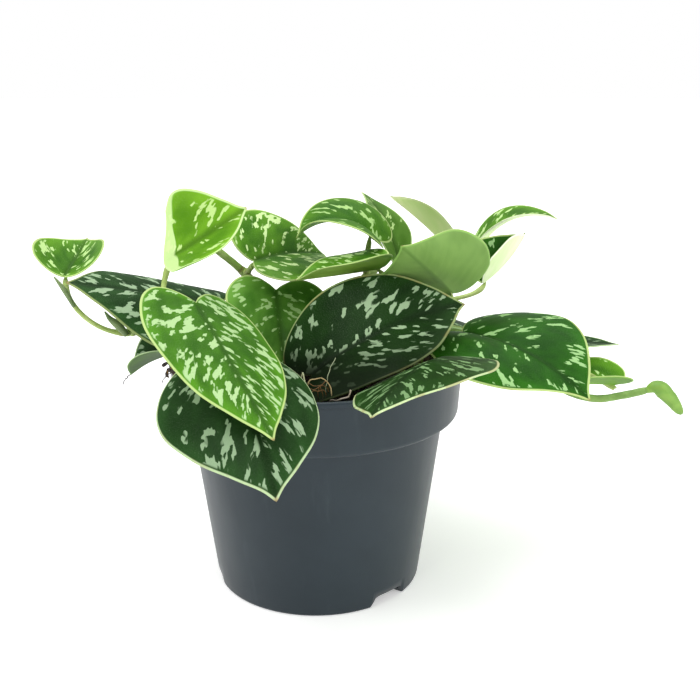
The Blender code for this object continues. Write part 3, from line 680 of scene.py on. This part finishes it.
def bladeGrid(blade):
    # middle surface: rows fan out from the midrib to the margin, columns run left to right. Across, the
    # slope starts at fold and grows by cup out to the margin; along, the midrib bends and the blade twists
    s, length, half, flat = bladeShape, blade["length"], blade["width"] / 2, 1e-4  # flat stands for no curve
    tau = np.linspace(0, 1, s["rows"] + 1)[:, None]
    outline = smoothCurve(halfOutline, s["rows"] + 1)
    back = np.where(outline[:, :1] < 0, outline[:, :1] * blade["lobe"], outline[:, :1])
    back = back + blade["sweep"] * outline[:, 1:] * (1 - outline[:, :1]) ** 2
    spread = np.linspace(1, -1, 2 * s["half"] + 1)[None, :]
    column = np.sign(spread) * (1 - (1 - np.abs(spread)) ** s["crowding"])
    out, midrib = np.abs(column), 0.22 * tau + 0.78 * tau**2
    x, reach = midrib * (1 - out) + back * out, outline[:, 1:] * out

    fold = np.radians(np.where(column > 0, blade["fold"][0], blade["fold"][1]))
    cup = np.radians(blade["cup"]) or flat
    across = np.sign(column) * half / cup * (np.sin(fold + cup * reach) - np.sin(fold))
    rise = half / cup * (np.cos(fold) - np.cos(fold + cup * reach))
    soft = blade["soft"]
    rise = rise * reach / (np.hypot(reach, soft) + soft) / (np.hypot(1, soft) - soft)
    flatX, flatY = x * length, np.sign(column) * reach * half
    long, short = s["waveLengths"]
    ripple = np.sin(flatX / long + 2.1 * np.sign(column) + length) + 0.6 * np.sin(flatX / short + half)
    rise = rise + s["wave"] * out**3 * ripple * ease(0.02, 0.2, tau) * ease(1.0, 0.85, tau)

    twist = np.radians(blade["twist"]) * x
    y = across * np.cos(twist) - rise * np.sin(twist)
    z = across * np.sin(twist) + rise * np.cos(twist)
    bend = -np.radians(blade["bend"]) or flat
    along = length / bend * np.sin(bend * x) - z * np.sin(bend * x)
    above = length / bend * (1 - np.cos(bend * x)) + z * np.cos(bend * x)
    ahead, left, up = leafAxes(blade)
    grid = np.array(blade["base"], float) + along[..., None] * ahead + y[..., None] * left
    grid = grid + above[..., None] * up

    # distance in from the margin: along the row, times the sine of the angle at which the row meets it
    rim = np.stack([back[:, 0] * length, outline[:, 1] * half], axis=-1)
    row = rim - np.stack([midrib[:, 0] * length, 0 * tau[:, 0]], axis=-1)
    tangent = unit(np.gradient(rim, axis=0) + 1e-9)
    reachIn = np.linalg.norm(row, axis=-1)
    sine = np.abs(row[:, 0] * tangent[:, 1] - row[:, 1] * tangent[:, 0])
    edge = (1 - out) * np.maximum(sine, 0.25 * reachIn)[:, None]
    return grid, flatX, flatY, edge


def bladeMesh(blade):
    # upper sheet, right rim, lower sheet and left rim make one closed ring of points for each row
    s = bladeShape
    grid, flatX, flatY, edge = bladeGrid(blade)
    normal = np.cross(np.gradient(grid, axis=1), np.gradient(grid, axis=0))
    normal[0] = normal[1].mean(axis=0)
    normal[-1] = normal[-2].mean(axis=0)
    normal = unit(normal)
    rib = np.abs(flatY)
    along = np.clip(flatX / blade["length"], 0, 1)
    slope = 0.35 + 1.6 * along**2
    lateral = (flatX - slope * rib) / s["veinGap"]
    shallow = ease(0.5, 3, rib) * ease(0, 4, edge)
    relief = -s["veinRelief"] * np.exp(-((np.abs(lateral % 1 - 0.5) / s["veinWidth"]) ** 2)) * shallow
    groove = s["groove"] * (1 - 0.75 * along) * np.exp(-((rib / s["grooveWidth"]) ** 2))
    relief = relief - groove * ease(0.0, 0.06, along)
    thick = s["edge"] + (s["thick"] - s["edge"]) * ease(0, 1.6, edge)
    ridge = s["ridge"] * (1 - along) * np.exp(-((rib / (1.3 - 0.7 * along)) ** 2)) * ease(-0.02, 0.05, along)
    upper = grid + normal * (thick + relief)[..., None]
    lower = grid - normal * (thick + ridge - 0.25 * relief * (rib > 1.5))[..., None]
    outward = unit(grid[:, [0, -1]] - grid[:, [1, -2]] + 1e-9)
    rims = grid[:, [0, -1]] + outward * s["edge"] * 0.9
    ring = np.concatenate([upper, rims[:, 1:], lower[:, ::-1], rims[:, :1]], axis=1)

    def ringOf(values):
        return np.concatenate([values, values[:, -1:], values[:, ::-1], values[:, :1]], axis=1)

    rows, columns = ring.shape[:2]
    wide = grid.shape[1]
    place = np.tile(np.repeat(np.arange(columns), 2), rows - 1)
    under = (place >= wide) & (place < 2 * wide)
    values = {"edge": ringOf(edge), "rib": ringOf(rib), "along": ringOf(along)}
    veins = np.stack([ringOf(np.sqrt(1 + slope**2) * flatY), ringOf(flatX - slope * rib)], axis=-1)
    points, triangles, used, whole = closedRings(ring)
    return (points, triangles, under[whole], veins.reshape(-1, 2)[used],
            {key: numbers.ravel()[used] for key, numbers in values.items()})


# foot, knee: how much the petiole swells by the vine and before the blade; kneeAt: how far from its tip
petioleShape = dict(
    radius=1.02, foot=0.75, footLength=4.5, knee=0.22, kneeAt=5.5, kneeLength=2.6, end=0.3, endLength=3.4,
    groove=0.16, inside=3.0, below=0.35, step=0.8, sides=14,
)


def petiolePath(blade):
    # cubic curve from the middle of the vine to just inside the blade, under its midrib
    stem, direction = pointAlong(vineRoute(blade["vine"]), blade["at"])
    ahead, _, up = leafAxes(blade)
    base = np.array(blade["base"], float)
    away = base - stem
    away = unit(away - direction * (away @ direction))
    foot = stem + away * (vineShape["radius"] + 0.8)
    start = unit(away + np.array([0, 0, 0.4]))
    if blade["at"] == 1.0:
        start, foot = direction, stem + direction * 0.4
    end = base + ahead * petioleShape["inside"] - up * petioleShape["below"]
    reach = np.linalg.norm(end - foot)
    startPull, endPull = foot + start * reach * 0.35, end - unit(ahead + 0.8 * up) * reach * 0.4
    t = np.linspace(0, 1, 200)[:, None]
    curve = (1 - t)**3 * foot + 3 * (1 - t)**2 * t * startPull + 3 * (1 - t) * t**2 * endPull + t**3 * end
    return np.vstack([stem[None] + direction * 0.01, curve])


def petioleMesh(blade):
    # sheathing foot, slim stalk, a knee before the blade, then a tail that runs out inside it
    s, dense = petioleShape, petiolePath(blade)
    length = lengthAlong(dense)[-1]
    path = evenly(dense, max(12, int(length / s["step"])))
    along = np.linspace(0, length, len(path))
    left = length - along
    radii = s["radius"] + s["foot"] * np.exp(-((along / s["footLength"]) ** 2))
    radii = radii + s["knee"] * np.exp(-(((left - s["kneeAt"]) / s["kneeLength"]) ** 2))
    radii = radii * (s["end"] + (1 - s["end"]) * ease(0, s["endLength"], left))

    def channel(angle):
        # a shallow furrow along one side
        return 1 - s["groove"] * np.exp(2.5 * (np.cos(angle - 1.5) - 1))[None]

    points, triangles, veins, row = tubeMesh(path, radii, s["sides"], channel)
    scar = 0.5 * np.exp(-(((along - 3.4) / 0.5) ** 2))
    return points, triangles, veins, scar[np.clip(row - 1, 0, len(path) - 1)]


# paintedShade: the dark colour of the painted shade laid on low parts of some blades
bladeLook = dict(
    scorch=(158, 124, 68), tip=(150, 112, 76), paintedShade=(10, 20, 7), depth=0.00008, underDepth=0.0001,
    ribShade=0.72,
)


def scorch(finish, vector, edge, share):
    # dry brown stretches along the margin
    burn = finish.noise(vector, 0.12, 3, 0.6)[0]
    band = finish.times(finish.step(edge, 1.1, 0.4), finish.step(burn, 0.50, 0.58, 0, share))
    finish.coat(band, bladeLook["scorch"])


def bladeFinish(name, look, seed, dry):
    # silver splashes: clusters of small angular cells, stretched along the side veins, picked where a
    # slow noise read at each cell's middle is high; green is fresher by the rim and darker by the midrib
    finish = Finish(name, 0.42, look["shine"])
    vector = finish.veins(shift=(seed * 17.3, seed * 9.1, 0))
    rough = finish.noise(vector, 0.9, 2, 0.6)[1]
    wobble = finish.vector("SUBTRACT", rough, (0.5, 0.5, 0.5))
    bent = finish.vector("MULTIPLY_ADD", wobble, (1.1, 0.7, 0), vector)
    edge, rib, along = finish.value("edge"), finish.value("rib"), finish.value("along")
    (long, wide), (patchLong, patchWide) = look["cell"], look["patch"]
    cells = finish.cells(finish.moved(bent, (1 / long, 1 / wide, 1)), 1.0, voronoi_dimensions="2D")
    middle = finish.moved(cells["Position"], (long / patchLong, wide / patchWide, 1), (0, 0, seed * 1.7))
    splash = finish.noise(middle, 1.0, 2, 0.55)[0]
    patch = finish.noise(vector, 0.09, 2)[0]
    limit = finish.math("SUBTRACT", 1.01 - look["cover"], finish.step(patch, 0.3, 0.7, -0.05, 0.05))
    silver = finish.step(finish.math("SUBTRACT", splash, limit), -0.006, 0.012)
    clear = finish.times(finish.step(rib, 0.4, 1.3), finish.step(edge, 0.8, 1.7))
    silver = finish.times(silver, clear)
    dust = finish.noise(vector, 3.0, 3, 0.7)[0]
    silver = finish.times(silver, finish.step(dust, 0.2, 0.55, 0.72, 1.0))

    rimward = finish.step(edge, 7, 0.5, 0, 0.45)
    fresh = finish.math("ADD", finish.step(patch, 0.25, 0.75, 0, 0.7), rimward, clamp=True)
    finish.mix(fresh, look["green"], look["fresh"])
    ribShade = tuple(bladeLook["ribShade"] * level for level in look["green"])
    finish.coat(finish.step(rib, 3.0, 0.0, 0, 0.6), ribShade)
    finish.coat(finish.step(dust, 0.48, 0.72, 0, 0.16), look["silver"])
    finish.coat(silver, look["silver"])
    finish.coat(finish.step(edge, 0.85, 0.40, 0, 0.9), look["rim"])
    if look["lip"]:
        reach = finish.step(along, 0.5, 0.1, 0, look["lip"])
        lip = finish.step(finish.math("SUBTRACT", reach, edge), 0, 1.2, 0, 0.8)
        finish.coat(lip, look["rim"])
    if dry:
        scorch(finish, vector, edge, dry)
    # painted shade: below a level that tilts with x, the blade is laid over with a dark colour where shade
    # falls low in the plant
    if look["paintedShade"]:
        slope, top, foot, share = look["paintedShade"]
        level = finish.math("ADD", finish.axis("Z"), finish.times(finish.axis("X"), slope))
        finish.coat(finish.step(level, top, foot, 0, share), bladeLook["paintedShade"])
    finish.coat(finish.step(along, 0.97, 0.995, 0, 0.7), bladeLook["tip"])
    roughness = finish.step(silver, 0, 1, 0.38, 0.52)
    skin = finish.noise(finish.place(), 2600, 2)[0]
    height = finish.math("ADD", finish.times(skin, 0.25), finish.times(silver, 0.5))
    return finish.done(roughness, finish.bump(height, bladeLook["depth"], 0.6))


def underFinish(name, shades, seed, dry):
    # matt, with faint lighter side veins; shades: two for the skin and one for the midrib, whose line is
    # painted light: a highlight where lighter, shade where darker
    finish = Finish(name, 0.55, 0.14)
    vector = finish.veins(shift=(seed * 5.3, seed * 2.7, 0))
    edge, rib = finish.value("edge"), finish.value("rib")
    cloud = finish.noise(vector, 0.07, 2, 0.5)[0]
    settings = {"Vector": finish.moved(vector, (0.02, 1 / 6.5, 1)), "Scale": 0.318, "Distortion": 0.8}
    wave = finish.node("ShaderNodeTexWave", settings, bands_direction="Y").outputs[1]
    skin, lighter, midrib = shades
    veinShade, rimShade = (tuple(min(255, level * more) for level in lighter) for more in (1.12, 1.2))
    finish.mix(finish.step(cloud, 0.3, 0.7), skin, lighter)
    finish.coat(finish.step(wave, 0.3, 1.0, 0, 0.06), veinShade)
    # painted light along the midrib: a highlight on its ridge where its colour is lighter than the skin,
    # painted shade where it is darker
    finish.coat(finish.step(rib, 1.1, 0.3, 0, 0.6), midrib)
    finish.coat(finish.step(edge, 0.8, 0.4, 0, 0.6), rimShade)
    if dry:
        scorch(finish, vector, edge, dry)
    grain = finish.noise(finish.place(), 1500, 3)[0]
    normal = finish.bump(grain, bladeLook["underDepth"], 0.4)
    return finish.done(finish.step(cloud, 0.3, 0.7, 0.5, 0.6), normal)


def makeLeaf(number, name, blade, stalkFinish):
    upper = bladeFinish(f"bladeUpper_{name}", looks[blade["look"]], number, blade["scorch"])
    lower = underFinish(f"bladeUnder_{name}", undersides[blade["under"]], number, blade["scorch"])
    points, triangles, under, veins, values = bladeMesh(blade)
    slot, node = f"leaf_{blade['slot']}", f"leaf_{name}"
    makePiece(f"blade_{name}", points, triangles, [upper, lower], slot, [node], under, veins, values)
    points, triangles, veins, scar = petioleMesh(blade)
    makePiece(f"petiole_{name}", points, triangles, [stalkFinish], slot, [node], None, veins, {"scar": scar})


# the rolled young leaf and the dry sheaths, each as (x, y, z, radius) along its length
spindles = {
    "bud_right": ((138.4, -0.9, 78.6, 1.2), (141.2, -1.5, 80.2, 2.7), (144, -2.3, 79.6, 3.5),
        (146.8, -3.6, 77, 3.2), (149.4, -5, 73.8, 2.6), (151.3, -6, 71.2, 1.8), (152.2, -6.4, 70, 0.8)),
    "sheath_tip": ((-95, -8.8, 118.6, 0.7), (-97.6, -9, 124.2, 1.1), (-99.8, -8.8, 127.6, 0.8),
        (-102, -8.5, 130.6, 0.3)),
    "sheath_node": ((-76, -5, 106, 1.2), (-79, -5.5, 110, 1.7), (-82, -6, 113, 1.1), (-84, -6, 116, 0.3)),
}


spindleShape = dict(rows=60, sides=48, wrap=0.07, wrapEdge=0.08)
# each kind: its slot, how often its wrap winds round, the name of its finish and three shades
spindleKinds = {
    "bud": ("leaf_young", 2.4, "rolledLeaf", (112, 156, 62), (134, 174, 76), (152, 150, 62)),
    "sheath": ("sheath", 0.5, "drySheath", (92, 118, 68), (116, 138, 88), (104, 100, 62)),
}


def makeSpindles():
    s = spindleShape
    finishes = {kind: stemFinish(*skin) for kind, (slot, turns, *skin) in spindleKinds.items()}
    along = np.linspace(0, 1, s["rows"])[:, None]
    for name, route in spindles.items():
        kind = name.split("_")[0]
        slot, turns, *_ = spindleKinds[kind]
        dense = smoothCurve(route, s["rows"])

        def shape(angle):
            # a step in the radius that winds round: the outer wrap lies over the inner one
            wind = (angle[None, :] / (2 * np.pi) + turns * along) % 1
            return 1 - s["wrap"] + s["wrap"] * ease(0.0, s["wrapEdge"], wind) * (1 - 0.9 * wind)

        points, triangles, veins, _ = tubeMesh(dense[:, :3], dense[:, 3], s["sides"], shape)
        makePiece(f"{kind}Roll_{name}", points, triangles, [finishes[kind]], slot, [name], veins=veins)


# lengths here are in metres; glow: the floor's own light near the pot and far from it, and where that changes
studio = dict(
    lens=49.41, sensor=36, place=(0, -0.380, 0.206), tilt=74.06, turn=-2.06, floor=9.0, floorSides=96,
    floorColour=(252, 252, 252), world=0.50, glowNear=0.36, glowFar=0.62, glowReach=(0.18, 1.1),
    aim=(0, 0, 0.1),
)
# each soft light: its place, its size and its power
lamps = {
    "softKey": ((-0.6, -0.5, 1.3), 1.1, 14),
    "softFill": ((1.1, -0.7, 0.7), 1.2, 7),
    "softTop": ((0.1, 0.5, 1.4), 1.2, 9),
}


def makeStudio():
    # a wide round pale floor, level with the pot's foot, that grows brighter away from the pot
    s = studio
    angle = np.linspace(0, 2 * np.pi, s["floorSides"], endpoint=False)
    rim = s["floor"] * np.stack([np.cos(angle), np.sin(angle), 0 * angle], axis=-1)
    mesh = bpy.data.meshes.new("paleFloor")
    mesh.from_pydata(rim.tolist(), [], [list(range(len(rim)))])
    finish = Finish("paleFloor", 0.9, 0.1)
    away = finish.vector("LENGTH", finish.place(), output="Value")
    glow = finish.step(away, *s["glowReach"], s["glowNear"], s["glowFar"])
    finish.set(finish.shader, {"Emission Color": (1, 1, 1, 1), "Emission Strength": glow})
    finish.colour = s["floorColour"]
    mesh.materials.append(finish.done())
    floor = bpy.data.objects.new("paleFloor", mesh)
    bpy.context.scene.collection.objects.link(floor)

    scene = bpy.context.scene
    scene.view_settings.view_transform = "Standard"
    world = bpy.data.worlds.new("studioWorld")
    scene.world = world
    world.use_nodes = True
    tree, soft = world.node_tree, world.node_tree.nodes["Background"]
    backdrop, choose = tree.nodes.new("ShaderNodeBackground"), tree.nodes.new("ShaderNodeMixShader")
    for light in (soft, backdrop):  # plain white behind the object, softer as light
        light.inputs["Color"].default_value = (1, 1, 1, 1)
    soft.inputs["Strength"].default_value = s["world"]
    tree.links.new(tree.nodes.new("ShaderNodeLightPath").outputs["Is Camera Ray"], choose.inputs[0])
    tree.links.new(soft.outputs[0], choose.inputs[1])
    tree.links.new(backdrop.outputs[0], choose.inputs[2])
    tree.links.new(choose.outputs[0], tree.nodes["World Output"].inputs["Surface"])
    for name, (place, size, power) in lamps.items():
        light = bpy.data.lights.new(name, "AREA")
        light.shape, light.size, light.energy = "SQUARE", size, power
        lamp = bpy.data.objects.new(name, light)
        lamp.location = place
        lamp.rotation_euler = (Vector(s["aim"]) - Vector(place)).to_track_quat("-Z", "Y").to_euler()
        scene.collection.objects.link(lamp)
    camera = bpy.data.cameras.new("camera")
    camera.lens, camera.sensor_width, camera.clip_start = s["lens"], s["sensor"], 0.01
    eye = bpy.data.objects.new("camera", camera)
    eye.location = s["place"]
    eye.rotation_euler = (np.radians(s["tilt"]), 0, np.radians(s["turn"]))
    scene.collection.objects.link(eye)
    scene.camera = eye


makeStudio()
print("studio and camera ready")
makePot()
print("pot made")
makeSoil()
print("soil made")
vineFinish = stemFinish("vineSkin", (186, 210, 132), (158, 188, 102))
runnerFinish = stemFinish("runnerSkin", (132, 170, 86), (108, 146, 66))
petioleFinish = stemFinish("petioleSkin", (182, 202, 122), (158, 182, 96), (166, 156, 100))
for name in vines:
    makeVine(name, runnerFinish if name == "right" else vineFinish)  # the long vine on the right is greener
print("vines made")
for number, (name, blade) in enumerate(leaves.items()):
    makeLeaf(number, name, blade, petioleFinish)
print("leaves made")
makeSpindles()
makeThreads()
print("bud, sheaths and roots made")
